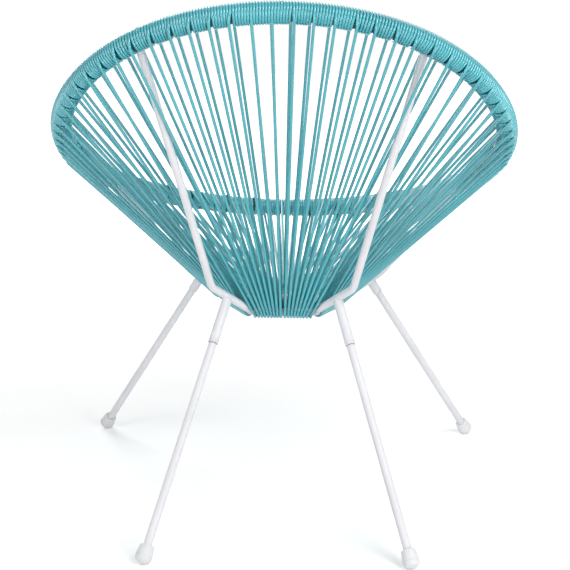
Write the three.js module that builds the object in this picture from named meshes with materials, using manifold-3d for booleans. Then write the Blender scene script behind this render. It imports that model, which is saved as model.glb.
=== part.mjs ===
import * as THREE from 'three';
import { mergeVertices } from 'three/addons/utils/BufferGeometryUtils.js';
import Module from 'manifold-3d';

// Acapulco chair: a wound oval rim carried over a small hub ring by four bent
// tubes, with one cord strung between rim and hub as the seat and back.
// Millimetres, +Z up, the sitter faces -Y. The origin is on the floor, in the
// middle of the chair's width and depth.

const wasm = await Module();
wasm.setup();

// Rim: a closed bent tube, low in front and high behind
const rimHalfWidth = 341;
const rimBackY = 335;
const rimBackHeight = 799;
const rimFrontY = -347.5;
const rimFrontHeight = 412;
const rimTubeDiameter = 24;

// The side profile's two handles, as shares of its run forward and its drop
const backHandleRunShare = 0.071;
const backHandleDropShare = 0.387;
const frontHandleRunShare = 0.429;
const frontHandleDropShare = 0.645;

// How the plan departs from an ellipse, as shares of the width, one for each harmonic
const rimFullnessShares = [-0.026, 0.029, 0.0135];

// Cord, and the gap kept between touching pieces
const cordDiameter = 4.5;
const fitGap = 0.3;
const pairLeadSpacing = 2.3;

// Hub ring: narrow at the back, widest where the front tubes land
const hubHeight = 318;
const hubRearHalfWidth = 51;
const hubRearY = 86;
const hubWideHalfWidth = 102.5;
const hubWideY = -20;
const hubFrontHalfWidth = 60;
const hubFrontY = -79;
const hubJointBendRadius = 16;
const hubFrontBendRadius = 45;

// Bare lengths of the hub ring beside the joints, where no cord loops round it
const bareBehindRearJoint = 6;
const bareBeforeRearJoint = 7;
const bareBehindFrontJoint = 30;
const bareBeforeFrontJoint = 9;

// Bent frame tubes from rim to hub
const frameTubeDiameter = 12;
const frameBendRadius = 28;
const rearBendHalfWidth = 110;
const rearBendY = 151;
const rearBendHeight = 373;
const frontBendHalfWidth = 165;
const frontBendY = -90;
const frontBendHeight = 345;

// Legs: plain tubes that screw into sockets under the frame tubes
const rearFootHalfWidth = 197;
const rearFootY = 353;
const frontFootHalfWidth = 340;
const frontFootY = -247;
const rearWeldShare = 0.35;
const frontWeldShare = 0.2;
const legTubeDiameter = 13;
const legTubeWall = 1.5;
const socketDiameter = 16;
const socketWall = 1.5;
const rearSocketLength = 73.7;
const frontSocketLength = 21;
const socketRoofThickness = 6;
const seamGap = 0.5;

// Screw joint between leg and socket
const studDiameter = 8;
const studReach = 14;
const studPlugDepth = 12;
const insertDepth = 12;
const insertRecess = 1;
const insertClearance = 0.3;

// Foot cap: a moulded cup with a domed sole, cut flat where it stands
const capRingDiameter = 25.8;
const capTopDiameter = 21.6;
const capCollarHeight = 19;
const capDomeDepth = 10;
const capGrooveHeight = 1.4;
const capGrooveDepth = 0.8;
const capGrooveRise = 1.3;
const capTopChamfer = 0.9;
const capBoreFloor = 1.5;
const capFlatDepth = 0.8;

// Counts
const rearBayPairCount = 9;
const sideBayPairCount = 13;
const frontBayPairCount = 20;
const pairsPerSection = 7;
const rearJointPairCount = 7.3;
const frontJointPairCount = 27;
const stationsPerSection = 6;
const widthSampleCount = 180;
const rimSides = 8;
const windingSides = 12;
const frameSides = 10;
const cordSides = 4;
const loopSteps = 3;
const bendSteps = 3;
const hubBendSteps = 2;
const tubeSides = 12;
const capSides = 16;
const domeSteps = 4;

const strandPairs = 2 * (rearBayPairCount + sideBayPairCount + frontBayPairCount);
const sections = strandPairs / pairsPerSection;
const rimStations = sections * stationsPerSection;

const up = new THREE.Vector3(0, 0, 1);

const cordMaterial = new THREE.MeshStandardMaterial({
  color: 0x5ab4c3, roughness: 0.42, metalness: 0
});
const paintMaterial = new THREE.MeshStandardMaterial({
  color: 0xf1f1f2, roughness: 0.38, metalness: 0.1
});
const capMaterial = new THREE.MeshStandardMaterial({
  color: 0xf4f4f4, roughness: 0.5, metalness: 0
});
const steelMaterial = new THREE.MeshStandardMaterial({
  color: 0xb4b6b8, roughness: 0.35, metalness: 1
});

// Meshes and solids

// Welds a geometry's shared corners and drops the slivers that collapse
function welded(geometry) {
  const bare = geometry.clone();
  bare.deleteAttribute('normal');
  bare.deleteAttribute('uv');
  const merged = mergeVertices(bare.index ? bare.toNonIndexed() : bare, fitGap / 300);
  const kept = [];
  const index = merged.index.array;
  for (let i = 0; i < index.length; i += 3) {
    const [a, b, c] = [index[i], index[i + 1], index[i + 2]];
    if (a !== b && b !== c && c !== a) {
      kept.push(a, b, c);
    }
  }
  merged.setIndex(kept);
  return merged;
}

function asSolid(geometry) {
  const merged = welded(geometry);
  return new wasm.Manifold(new wasm.Mesh({
    numProp: 3,
    vertProperties: new Float32Array(merged.attributes.position.array),
    triVerts: new Uint32Array(merged.index.array)
  }));
}

function asGeometry(solid) {
  const mesh = solid.getMesh();
  const geometry = new THREE.BufferGeometry();
  const positions = new THREE.BufferAttribute(new Float32Array(mesh.vertProperties), 3);
  geometry.setAttribute('position', positions);
  geometry.setIndex(new THREE.BufferAttribute(new Uint32Array(mesh.triVerts), 1));
  return geometry;
}

function cut(geometry, ...tools) {
  const solid = tools.reduce((left, tool) => left.subtract(asSolid(tool)), asSolid(geometry));
  return asGeometry(solid);
}

function named(name, geometry, material) {
  const faceted = geometry.index ? geometry.toNonIndexed() : geometry;
  faceted.computeVertexNormals();
  const mesh = new THREE.Mesh(faceted, material);
  mesh.name = name;
  return mesh;
}

// Skin over a row of rings with equal counts of points. A looped row joins its
// last ring to its first; an open row gets a flat lid at each end.
function skin(rings, looped) {
  const sides = rings[0].length;
  const positions = rings.flat().flatMap((point) => point.toArray());
  const index = [];
  const spans = looped ? rings.length : rings.length - 1;
  for (let row = 0; row < spans; row++) {
    const next = (row + 1) % rings.length;
    for (let side = 0; side < sides; side++) {
      const across = (side + 1) % sides;
      const [a, b] = [row * sides + side, row * sides + across];
      const [c, d] = [next * sides + side, next * sides + across];
      index.push(a, b, d, a, d, c);
    }
  }
  if (!looped) {
    const last = (rings.length - 1) * sides;
    for (let side = 1; side < sides - 1; side++) {
      index.push(0, side + 1, side);
      index.push(last, last + side, last + side + 1);
    }
  }
  const geometry = new THREE.BufferGeometry();
  geometry.setAttribute('position', new THREE.Float32BufferAttribute(positions, 3));
  geometry.setIndex(index);
  return geometry;
}

// Corner radius of the prism that fills as much as a round bar
function filled(radius, sides) {
  const wedge = Math.PI * 2 / sides;
  return radius * Math.sqrt(wedge / Math.sin(wedge));
}

// Distance from a prism's axis to its flats
function flat(cornerRadius, sides) {
  return cornerRadius * Math.cos(Math.PI / sides);
}

// Ring of points square to a path, a flat of it towards the hint
function ring(centre, along, hint, cornerRadius, sides) {
  const first = hint.clone().addScaledVector(along, -hint.dot(along)).normalize();
  const second = new THREE.Vector3().crossVectors(along, first);
  return Array.from({ length: sides }, (unused, side) => {
    const turn = ((side + 0.5) / sides) * Math.PI * 2;
    return centre.clone()
      .addScaledVector(first, Math.cos(turn) * cornerRadius)
      .addScaledVector(second, Math.sin(turn) * cornerRadius);
  });
}

// Direction of travel at each point of a path, halved at its corners
function headings(points, closed) {
  const count = points.length;
  return points.map((point, i) => {
    const before = points[closed ? (i + count - 1) % count : Math.max(i - 1, 0)];
    const after = points[closed ? (i + 1) % count : Math.min(i + 1, count - 1)];
    const incoming = point.clone().sub(before).normalize();
    const outgoing = after.clone().sub(point).normalize();
    return incoming.add(outgoing).normalize();
  });
}

// Bar along a path of points, its flats square to a hint for each point or for all
function bar(points, cornerRadius, sides, hint, closed = false) {
  const along = headings(points, closed);
  const rings = points.map((point, i) => (
    ring(point, along[i], Array.isArray(hint) ? hint[i] : hint, cornerRadius, sides)
  ));
  return skin(rings, closed);
}

// Corner radius that keeps the fit gap between the flats of two nested prisms
function around(cornerRadius, sides) {
  return cornerRadius + fitGap / Math.cos(Math.PI / sides);
}

// Path through corners, each rounded by its own bend radius
function bentPath(corners, steps) {
  const points = [];
  corners.forEach(({ at, bend }, i) => {
    if (!bend) {
      points.push(at.clone());
      return;
    }
    const back = corners[i - 1].at.clone().sub(at).normalize();
    const ahead = corners[i + 1].at.clone().sub(at).normalize();
    const halfAngle = back.angleTo(ahead) / 2;
    const middle = back.clone().add(ahead).normalize();
    const centre = at.clone().addScaledVector(middle, bend / Math.sin(halfAngle));
    const start = at.clone().addScaledVector(back, bend / Math.tan(halfAngle)).sub(centre);
    const end = at.clone().addScaledVector(ahead, bend / Math.tan(halfAngle)).sub(centre);
    const sweep = start.angleTo(end);
    const axis = new THREE.Vector3().crossVectors(start, end).normalize();
    for (let step = 0; step <= steps; step++) {
      const spoke = start.clone().applyAxisAngle(axis, (sweep * step) / steps);
      points.push(centre.clone().add(spoke));
    }
  });
  return points;
}

// Point at a distance along a path
function placeAlong(points, distance) {
  let left = distance;
  for (let i = 1; i < points.length; i++) {
    const step = points[i].clone().sub(points[i - 1]);
    if (left <= step.length() || i === points.length - 1) {
      return points[i - 1].clone().addScaledVector(step.normalize(), left);
    }
    left -= step.length();
  }
  return null;
}

function pathLength(points) {
  return points.slice(1).reduce((sum, point, i) => sum + point.distanceTo(points[i]), 0);
}

// Rim

function rimSpread(turn) {
  const fullness = rimFullnessShares.reduce(
    (sum, share, i) => sum + share * Math.cos((i + 1) * turn), 1
  );
  return Math.sin(turn) * fullness;
}

class RimCurve extends THREE.Curve {
  constructor() {
    super();
    const run = rimBackY - rimFrontY;
    const drop = rimBackHeight - rimFrontHeight;
    this.profile = new THREE.CubicBezierCurve(
      new THREE.Vector2(rimBackY, rimBackHeight),
      new THREE.Vector2(
        rimBackY - run * backHandleRunShare, rimBackHeight - drop * backHandleDropShare
      ),
      new THREE.Vector2(
        rimBackY - run * frontHandleRunShare, rimBackHeight - drop * frontHandleDropShare
      ),
      new THREE.Vector2(rimFrontY, rimFrontHeight)
    );
    const spreads = Array.from({ length: widthSampleCount }, (unused, i) => (
      rimSpread((i / widthSampleCount) * Math.PI)
    ));
    this.widest = Math.max(...spreads);
    this.arcLengthDivisions = 20 * rimStations;
  }

  // The share runs once round, from the middle of the back over +X to the front
  getPoint(share, target = new THREE.Vector3()) {
    const turn = share * Math.PI * 2;
    const side = this.profile.getPoint((1 - Math.cos(turn)) / 2);
    return target.set(rimHalfWidth * rimSpread(turn) / this.widest, side.x, side.y);
  }
}

const rimCorner = filled(rimTubeDiameter / 2, rimSides);
const rimPoints = new RimCurve().getSpacedPoints(rimStations).slice(0, rimStations);
const rimHeadings = headings(rimPoints, true);

// Point and heading on the rim's bent chords at a count of stations
function rimAt(stations) {
  const whole = Math.floor(stations);
  const part = stations - whole;
  const from = rimPoints[(whole + rimStations) % rimStations];
  const to = rimPoints[(whole + 1 + rimStations) % rimStations];
  return {
    point: from.clone().lerp(to, part),
    heading: to.clone().sub(from).normalize()
  };
}

const stationsPerPair = rimStations / strandPairs;

function rimJoint(pair) {
  return rimAt(pair * stationsPerPair).point;
}

// Hub ring

const hubCorners = [
  { x: hubRearHalfWidth, y: hubRearY, bend: hubJointBendRadius },
  { x: hubWideHalfWidth, y: hubWideY, bend: hubJointBendRadius },
  { x: hubFrontHalfWidth, y: hubFrontY, bend: hubFrontBendRadius }
];

// One half of the ring, from the middle of the back to the middle of the front
const hubHalf = bentPath([
  { at: new THREE.Vector3(0, hubRearY, hubHeight) },
  ...hubCorners.map(({ x, y, bend }) => ({ at: new THREE.Vector3(x, y, hubHeight), bend })),
  { at: new THREE.Vector3(0, hubFrontY, hubHeight) }
], hubBendSteps);

function mirrored(point) {
  return new THREE.Vector3(-point.x, point.y, point.z);
}

const hubPoints = [...hubHalf, ...hubHalf.slice(1, -1).reverse().map(mirrored)];
const frameCorner = filled(frameTubeDiameter / 2, frameSides);

function hubRing(cornerRadius) {
  return bar(hubPoints, cornerRadius, frameSides, up, true);
}

function nearestOnHub(target) {
  return hubHalf.reduce((best, point) => (
    point.distanceTo(target) < best.distanceTo(target) ? point : best
  ));
}

function cornerOnHub({ x, y }) {
  return nearestOnHub(new THREE.Vector3(x, y, hubHeight));
}

// Distance along the hub's half from the middle of the back to a point of it
function hubDistance(target) {
  const last = hubHalf.indexOf(target);
  return pathLength(hubHalf.slice(0, last + 1));
}

// Frame tubes

const rearJoint = cornerOnHub(hubCorners[0]);
const frontJoint = cornerOnHub(hubCorners[1]);

const rearCorners = [
  rimJoint(rearJointPairCount),
  new THREE.Vector3(rearBendHalfWidth, rearBendY, rearBendHeight),
  rearJoint
];
const frontCorners = [
  rimJoint(frontJointPairCount),
  new THREE.Vector3(frontBendHalfWidth, frontBendY, frontBendHeight),
  frontJoint
];

// The tube stops short of the hub's axis, where its mouth is still whole
function frameTubePath([top, corner, hubJoint]) {
  const setback = corner.clone().sub(hubJoint).setLength(frameTubeDiameter / 4);
  const mouth = hubJoint.clone().add(setback);
  return bentPath([{ at: top }, { at: corner, bend: frameBendRadius }, { at: mouth }], bendSteps);
}

function frameTube(path, cornerRadius) {
  return bar(path, cornerRadius, frameSides, new THREE.Vector3(0, 1, 0));
}

function onSide(points, side) {
  return side > 0 ? points : points.map(mirrored);
}

const sideNames = [[1, 'left'], [-1, 'right']];
const supports = sideNames.flatMap(([side, sideName]) => (
  [['rear', rearCorners], ['front', frontCorners]].map(([end, endCorners]) => {
    const corners = onSide(endCorners, side);
    return { name: `${end}_support_${sideName}`, path: frameTubePath(corners) };
  })
));

// Legs, each built upright from its foot and then leaned to its weld

function turned(profile, sides = tubeSides) {
  const points = profile.map(([radius, height]) => new THREE.Vector2(radius, height));
  return new THREE.LatheGeometry(points, sides).rotateX(Math.PI / 2);
}

function closedProfile(profile) {
  return [...profile, profile[0]];
}

function footCapProfile() {
  const ringRadius = capRingDiameter / 2;
  const topRadius = capTopDiameter / 2;
  const grooveTop = capGrooveHeight + capGrooveRise;
  const boreRadius = legTubeDiameter / 2 + fitGap;
  const dome = Array.from({ length: domeSteps + 1 }, (unused, step) => {
    const lift = (step / domeSteps) * Math.PI / 2;
    return [Math.sin(lift) * ringRadius, -Math.cos(lift) * capDomeDepth];
  });
  return [
    ...dome,
    [ringRadius, capGrooveHeight],
    [ringRadius - capGrooveDepth, capGrooveHeight],
    [ringRadius - capGrooveDepth, grooveTop],
    [ringRadius, grooveTop],
    [topRadius, capCollarHeight - capTopChamfer],
    [topRadius - capTopChamfer, capCollarHeight],
    [boreRadius, capCollarHeight],
    [boreRadius, capBoreFloor],
    [0, capBoreFloor]
  ];
}

// Height of the dome's centre when the leaning cap stands on its cut sole
function footCentreHeight(lean) {
  const across = Math.sin(lean) * capRingDiameter / 2;
  const down = Math.cos(lean) * capDomeDepth;
  return Math.hypot(across, down) - capFlatDepth;
}

function standingFoot(halfWidth, y, weld) {
  const foot = new THREE.Vector3(halfWidth, y, 0);
  const lean = weld.clone().sub(foot).angleTo(up);
  return foot.setZ(footCentreHeight(lean));
}

// How far below its axis, at most, a slanting frame tube crosses a socket's bore
function tubeReach(tubeDirection, legDirection) {
  const angle = tubeDirection.angleTo(legDirection);
  const bore = socketDiameter / 2 - socketWall;
  return (frameTubeDiameter / 2 + bore * Math.abs(Math.cos(angle))) / Math.sin(angle);
}

const legs = sideNames.flatMap(([side, sideName]) => [
  {
    end: 'rear', halfWidth: rearFootHalfWidth, y: rearFootY,
    weldShare: rearWeldShare, socketLength: rearSocketLength
  },
  {
    end: 'front', halfWidth: frontFootHalfWidth, y: frontFootY,
    weldShare: frontWeldShare, socketLength: frontSocketLength
  }
].map(({ end, halfWidth, y, weldShare, socketLength }) => {
  const name = `${end}_${sideName}`;
  const carrier = supports.findIndex((support) => support.name === `${end}_support_${sideName}`);
  const [bendEnd, hubEnd] = supports[carrier].path.slice(-2);
  const weld = bendEnd.clone().lerp(hubEnd, weldShare);
  const foot = standingFoot(side * halfWidth, y, weld);
  const down = foot.clone().sub(weld).normalize();
  const tubeBottom = tubeReach(hubEnd.clone().sub(bendEnd), down);
  const seam = weld.clone().addScaledVector(down, tubeBottom + socketLength);
  return { name, carrier, foot, weld, seam, tubeBottom };
}));

function leg({ name, foot, weld, seam: seamPoint, tubeBottom }, weldTube) {
  const group = new THREE.Group();
  const reach = weld.clone().sub(foot);
  const height = reach.length();
  group.position.copy(foot);
  group.quaternion.setFromUnitVectors(up, reach.clone().normalize());
  group.updateMatrix();
  const inverse = group.matrix.clone().invert();

  const seam = seamPoint.distanceTo(foot);
  const legRadius = legTubeDiameter / 2;
  const legBore = legRadius - legTubeWall;
  const legBottom = capBoreFloor + fitGap;
  const socketRadius = socketDiameter / 2;
  const socketBore = socketRadius - socketWall;
  const socketRoof = height - tubeBottom - socketRoofThickness;
  const insertBottom = seam + insertRecess;
  const insertRadius = socketBore - fitGap;
  const insertBore = studDiameter / 2 + insertClearance;
  const plugRadius = legBore - fitGap;
  const legTop = seam - seamGap;

  const ground = new THREE.BoxGeometry(capRingDiameter * 2, capRingDiameter * 2, capRingDiameter)
    .translate(foot.x, foot.y, -capRingDiameter / 2)
    .applyMatrix4(inverse);
  const socket = turned([
    [0, socketRoof], [socketBore, socketRoof], [socketBore, seam], [socketRadius, seam],
    [socketRadius, height], [0, height]
  ]);
  const tubeAbove = weldTube.clone().applyMatrix4(inverse);

  group.add(
    named(`foot_cap_${name}`, cut(turned(footCapProfile(), capSides), ground), capMaterial),
    named(`leg_tube_${name}`, turned(closedProfile([
      [legBore, legBottom], [legRadius, legBottom], [legRadius, legTop], [legBore, legTop]
    ])), paintMaterial),
    named(`leg_stud_${name}`, turned([
      [0, legTop - studPlugDepth], [plugRadius, legTop - studPlugDepth], [plugRadius, legTop],
      [studDiameter / 2, legTop], [studDiameter / 2, seam + studReach], [0, seam + studReach]
    ]), steelMaterial),
    named(`socket_insert_${name}`, turned(closedProfile([
      [insertBore, insertBottom], [insertRadius, insertBottom],
      [insertRadius, insertBottom + insertDepth], [insertBore, insertBottom + insertDepth]
    ])), steelMaterial),
    named(`leg_socket_${name}`, cut(socket, tubeAbove), paintMaterial)
  );
  return group;
}

// Cord

const cordCorner = filled(cordDiameter / 2, cordSides);
const windingBore = around(rimCorner, rimSides);
const windingCorner = rimTubeDiameter / 2 + fitGap + cordDiameter;
const strandOffset = windingBore + cordCorner;
const loopGap = flat(frameCorner, frameSides) + fitGap + cordDiameter / 2;
const loopRadius = loopGap / Math.cos(Math.PI / loopSteps / 2);

// The hub's bays between its joints, with the stretch that the loops may use
const hubReach = pathLength(hubHalf);
const rearJointDistance = hubDistance(rearJoint);
const frontJointDistance = hubDistance(frontJoint);
const bays = [
  { pairs: rearBayPairCount, from: 0, to: rearJointDistance - bareBehindRearJoint },
  {
    pairs: sideBayPairCount,
    from: rearJointDistance + bareBeforeRearJoint,
    to: frontJointDistance - bareBehindFrontJoint
  },
  { pairs: frontBayPairCount, from: frontJointDistance + bareBeforeFrontJoint, to: hubReach }
];
const hubPlaces = bays.flatMap(({ pairs, from, to }) => (
  Array.from({ length: pairs }, (unused, i) => from + (to - from) * (i + 0.5) / pairs)
));

// Direction square to a tube and to the strand that leaves it, on the seat's side
function seatSide(heading, strand) {
  const side = new THREE.Vector3().crossVectors(heading, strand).normalize();
  return side.z < 0 ? side.negate() : side;
}

// Closest approach of two segments: where it lies on the first, as a share of
// it, its point on the second, and the step from there to the first
function approach([a, b], [c, d]) {
  const first = b.clone().sub(a);
  const second = d.clone().sub(c);
  const between = a.clone().sub(c);
  const [aa, bb, ab] = [first.dot(first), second.dot(second), first.dot(second)];
  const [af, bf] = [first.dot(between), second.dot(between)];
  const firstShare = THREE.MathUtils.clamp((ab * bf - bb * af) / (aa * bb - ab * ab), 0, 1);
  const secondShare = THREE.MathUtils.clamp((ab * firstShare + bf) / bb, 0, 1);
  const onSecond = c.clone().addScaledVector(second, secondShare);
  const step = a.clone().addScaledVector(first, firstShare).sub(onSecond);
  return { firstShare, onSecond, step };
}

// Closest approach of a strand to a path of points
function nearest(strand, path) {
  return path.slice(1)
    .map((point, i) => approach(strand, [path[i], point]))
    .reduce((best, one) => (one.step.length() < best.step.length() ? one : best));
}

// What a strand may run into, each with the distance that clears its axis: the
// frame tubes above and below their own bends, and the leg sockets
const middleOfBend = Math.ceil(bendSteps / 2) + 1;
const obstacles = [
  ...supports.flatMap(({ path }) => [path.slice(0, middleOfBend + 1), path.slice(middleOfBend)])
    .map((path) => ({ path, need: frameCorner + cordCorner + 2 * fitGap })),
  ...legs.map(({ weld, seam }) => ({
    path: [weld, seam], need: socketDiameter / 2 + cordCorner + 2 * fitGap
  }))
];

// Bends of a strand where it bears on an obstacle that it would run into
function bearings(from, to) {
  return obstacles
    .map(({ path, need }) => ({ ...nearest([from, to], path), need }))
    .filter(({ step, firstShare, need }) => (
      need - step.length() > fitGap && firstShare > 0 && firstShare < 1
    ))
    .sort((one, other) => one.firstShare - other.firstShare)
    .map(({ onSecond, step, need }) => (
      onSecond.clone().addScaledVector(step.normalize(), need)
    ));
}

// Route of a strand, its bends laid once more between the first ones
function layOver(from, to) {
  const first = [from, ...bearings(from, to), to];
  return first.slice(1)
    .flatMap((point, i) => [...bearings(first[i], point), point])
    .slice(0, -1);
}

// The point and heading of the hub where a pair loops round it
function hubAt(pair) {
  const half = strandPairs / 2;
  const onLeft = pair < half;
  const place = hubPlaces[onLeft ? pair : strandPairs - 1 - pair];
  const point = placeAlong(hubHalf, place);
  const heading = placeAlong(hubHalf, place + cordDiameter)
    .sub(placeAlong(hubHalf, place - cordDiameter))
    .normalize();
  return onLeft ? { point, heading } : {
    point: mirrored(point), heading: mirrored(heading).negate()
  };
}

// One pair of strands: down from the rim's seat side, round the hub, and back
// up to the rim's outer side
function strandPair(pair) {
  const onRim = rimAt((pair + 0.5) * stationsPerPair);
  const onHub = hubAt(pair);
  const reach = onHub.point.clone().sub(onRim.point);
  const rimSide = seatSide(onRim.heading, reach);
  const hubSide = seatSide(onHub.heading, reach);
  const outward = new THREE.Vector3().crossVectors(onHub.heading, hubSide).normalize();
  if (outward.dot(reach) > 0) {
    outward.negate();
  }
  const lead = onRim.heading.clone().multiplyScalar(pairLeadSpacing / 2);
  const start = onRim.point.clone().add(lead).addScaledVector(rimSide, strandOffset);
  const end = onRim.point.clone().sub(lead).addScaledVector(rimSide, -strandOffset);
  const loop = Array.from({ length: loopSteps + 1 }, (unused, step) => {
    const turn = (step / loopSteps) * Math.PI;
    return onHub.point.clone()
      .addScaledVector(hubSide, Math.cos(turn) * loopRadius)
      .addScaledVector(outward, -Math.sin(turn) * loopRadius);
  });
  const down = layOver(start, loop[0]);
  const back = layOver(loop[loopSteps], end);
  const points = [start, ...down, ...loop, ...back, end];
  const hints = points.map((point, i) => (
    i < down.length + 1 || i > down.length + loop.length ? onRim.heading : onHub.heading
  ));
  return bar(points, cordCorner, cordSides, hints);
}

const hubCentre = new THREE.Vector3(0, (hubRearY + hubFrontY) / 2, hubHeight);

// Ring on the rim at a station, a flat of it towards the hub
function rimRing(station, cornerRadius, sides, shift = 0) {
  const centre = rimPoints[station].clone().addScaledVector(rimHeadings[station], shift);
  const aim = hubCentre.clone().sub(rimPoints[station]);
  return ring(centre, rimHeadings[station], aim, cornerRadius, sides);
}

function rimTube(cornerRadius) {
  return skin(rimPoints.map((point, station) => rimRing(station, cornerRadius, rimSides)), true);
}

// The turns wound on the rim between two section ends, before the rim is cut out
function sectionWinding(section) {
  const first = section * stationsPerSection;
  const rings = Array.from({ length: stationsPerSection + 1 }, (unused, i) => {
    const shift = i === 0 ? fitGap / 2 : i === stationsPerSection ? -fitGap / 2 : 0;
    return rimRing((first + i) % rimStations, windingCorner, windingSides, shift);
  });
  return skin(rings, false);
}

function cordSection(section, clearances) {
  let solid = asSolid(sectionWinding(section));
  for (const clearance of clearances) {
    solid = solid.subtract(asSolid(clearance));
  }
  for (let i = 0; i < pairsPerSection; i++) {
    solid = solid.add(asSolid(strandPair(section * pairsPerSection + i)));
  }
  return asGeometry(solid);
}

// Assembly

const chair = new THREE.Group();
const rimKeepOut = rimTube(windingBore);
const hubKeepOut = hubRing(around(frameCorner, frameSides));

chair.add(
  named('rim_tube', rimTube(rimCorner), paintMaterial),
  named('hub_ring', hubRing(frameCorner), paintMaterial)
);

for (const { name, path } of supports) {
  const tube = frameTube(path, frameCorner);
  chair.add(named(name, cut(tube, rimKeepOut, hubKeepOut), paintMaterial));
}

const supportKeepOuts = supports.map(({ path }) => (
  frameTube(path, around(frameCorner, frameSides))
));

for (const placed of legs) {
  chair.add(leg(placed, supportKeepOuts[placed.carrier]));
}

for (let section = 0; section < sections; section++) {
  const label = String(section + 1).padStart(2, '0');
  const solid = cordSection(section, [rimKeepOut, ...supportKeepOuts]);
  chair.add(named(`cord_section_${label}`, solid, cordMaterial));
}

export default chair;
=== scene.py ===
"""Acapulco chair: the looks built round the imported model.

Lengths are millimetres unless a name or comment says otherwise. Meshes are written in
metres in the frame's own axes: +Z up, the sitter faces -Y, +X is the sitter's left.
"""

import math

import bpy
import numpy as np
from mathutils import Matrix, Vector


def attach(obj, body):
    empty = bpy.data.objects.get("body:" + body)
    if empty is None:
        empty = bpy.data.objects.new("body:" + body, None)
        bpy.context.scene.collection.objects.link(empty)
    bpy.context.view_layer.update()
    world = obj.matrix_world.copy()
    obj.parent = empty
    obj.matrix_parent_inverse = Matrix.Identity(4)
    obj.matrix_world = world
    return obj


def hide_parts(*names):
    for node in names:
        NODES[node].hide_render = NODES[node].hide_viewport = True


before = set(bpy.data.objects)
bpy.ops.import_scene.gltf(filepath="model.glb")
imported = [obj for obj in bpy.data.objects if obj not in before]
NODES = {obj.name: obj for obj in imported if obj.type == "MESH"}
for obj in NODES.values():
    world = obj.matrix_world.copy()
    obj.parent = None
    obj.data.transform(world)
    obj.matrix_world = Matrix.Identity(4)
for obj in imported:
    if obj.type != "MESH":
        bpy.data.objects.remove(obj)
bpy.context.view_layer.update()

MM = 0.001
RNG = np.random.default_rng(7)

# ---------------------------------------------------------------- sizes

# Rim: a curve in side view (y, z), spread sideways
RIM_HALF_WIDTH = 341.0
RIM_BACK, RIM_FRONT = (335.0, 799.0), (-347.5, 412.0)
BACK_HANDLE, FRONT_HANDLE = (0.071, 0.387), (0.429, 0.645)
RIM_FULLNESS = (-0.026, 0.029, 0.0135)
RIM_RADIUS = 12.0
RIM_STEPS, RIM_DRAWN_STEPS, WIDTH_STEPS = 4800, 240, 180

# Hub ring and frame tubes; each hub corner is its (x, y) and its bend's radius
TUBE_RADIUS = 6.0
HUB_HEIGHT, HUB_BACK_Y, HUB_FRONT_Y = 318.0, 86.0, -79.0
HUB_CORNERS = (((51.0, HUB_BACK_Y), 16.0), ((102.5, -20.0), 16.0), ((60.0, HUB_FRONT_Y), 45.0))
REAR_JOINT_PAIR, FRONT_JOINT_PAIR = 7.3, 27.0
REAR_BEND, FRONT_BEND = (110.0, 151.0, 373.0), (165.0, -90.0, 345.0)
FRAME_BEND_RADIUS = 28.0
HUB_BEND_STEPS, FRAME_BEND_STEPS = 10, 8

# Cord: its free radius, and its radius as drawn on the rim and in the strands
CORD_RADIUS, TURN_CORD_RADIUS, STRAND_CORD_RADIUS = 2.25, 2.14, 2.3
CORD_GAP = 0.02
TURN_SPACING, PAIR_LEAD, CROSSING_GAP = 4.15, 2.1, 3.9
BARE_BEHIND_REAR, BARE_BEFORE_REAR = 2.6, 7.0
BARE_BEHIND_FRONT, BARE_BEFORE_FRONT = 30.0, 9.0
BAY_PAIRS = (9, 13, 20)
PAIRS = 2 * sum(BAY_PAIRS)
PAIRS_PER_SECTION = 7
SECTIONS = PAIRS // PAIRS_PER_SECTION
POINTS_PER_TURN, POINTS_PER_LOOP = 20, 12

RIM_SIDES, TUBE_SIDES, CORD_SIDES = 20, 24, 8


def vec(*xyz):
    return np.array(xyz, float)


def unit(v):
    return v / np.linalg.norm(v)


# ---------------------------------------------------------------- meshes


def make_mesh(name, verts_mm, faces, smooth=True):
    mesh = bpy.data.meshes.new(name)
    mesh.from_pydata((np.asarray(verts_mm) * MM).tolist(), [], faces)
    mesh.update()
    if smooth:
        mesh.shade_smooth()
    obj = bpy.data.objects.new(name, mesh)
    bpy.context.scene.collection.objects.link(obj)
    return obj


def flipped(v, axis):
    """v mirrored in the plane square to axis."""
    return v - (2 / (axis @ axis)) * (axis @ v) * axis


def untwist(points, tangents, normals):
    """Shares out the twist left where a closed path meets itself over its whole length."""
    last = flipped(normals[-1], points[0] - points[-1])
    last = unit(last - tangents[0] * (last @ tangents[0]))
    side = np.cross(tangents[0], normals[0])
    twist = math.atan2(last @ side, last @ normals[0])
    for i, tangent in enumerate(tangents):
        turn = -twist * i / len(points)
        side = np.cross(tangent, normals[i])
        normals[i] = normals[i] * math.cos(turn) + side * math.sin(turn)


def transported(points, closed):
    """Tangents and a rotation-minimising normal along a path."""
    steep, straight = 0.9, 1e-14
    if closed:
        tangents = np.roll(points, -1, 0) - np.roll(points, 1, 0)
    else:
        tangents = np.gradient(points, axis=0)
    tangents /= np.linalg.norm(tangents, axis=1)[:, None]
    normals = np.zeros_like(points)
    seed = vec(0, 0, 1) if abs(tangents[0][2]) < steep else vec(1, 0, 0)
    normals[0] = unit(seed - tangents[0] * (seed @ tangents[0]))
    for i in range(1, len(points)):
        step = points[i] - points[i - 1]
        normal = flipped(normals[i - 1], step)
        turn = tangents[i] - flipped(tangents[i - 1], step)
        normals[i] = normal if turn @ turn < straight else flipped(normal, turn)
    if closed:
        untwist(points, tangents, normals)
    return tangents, normals


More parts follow.
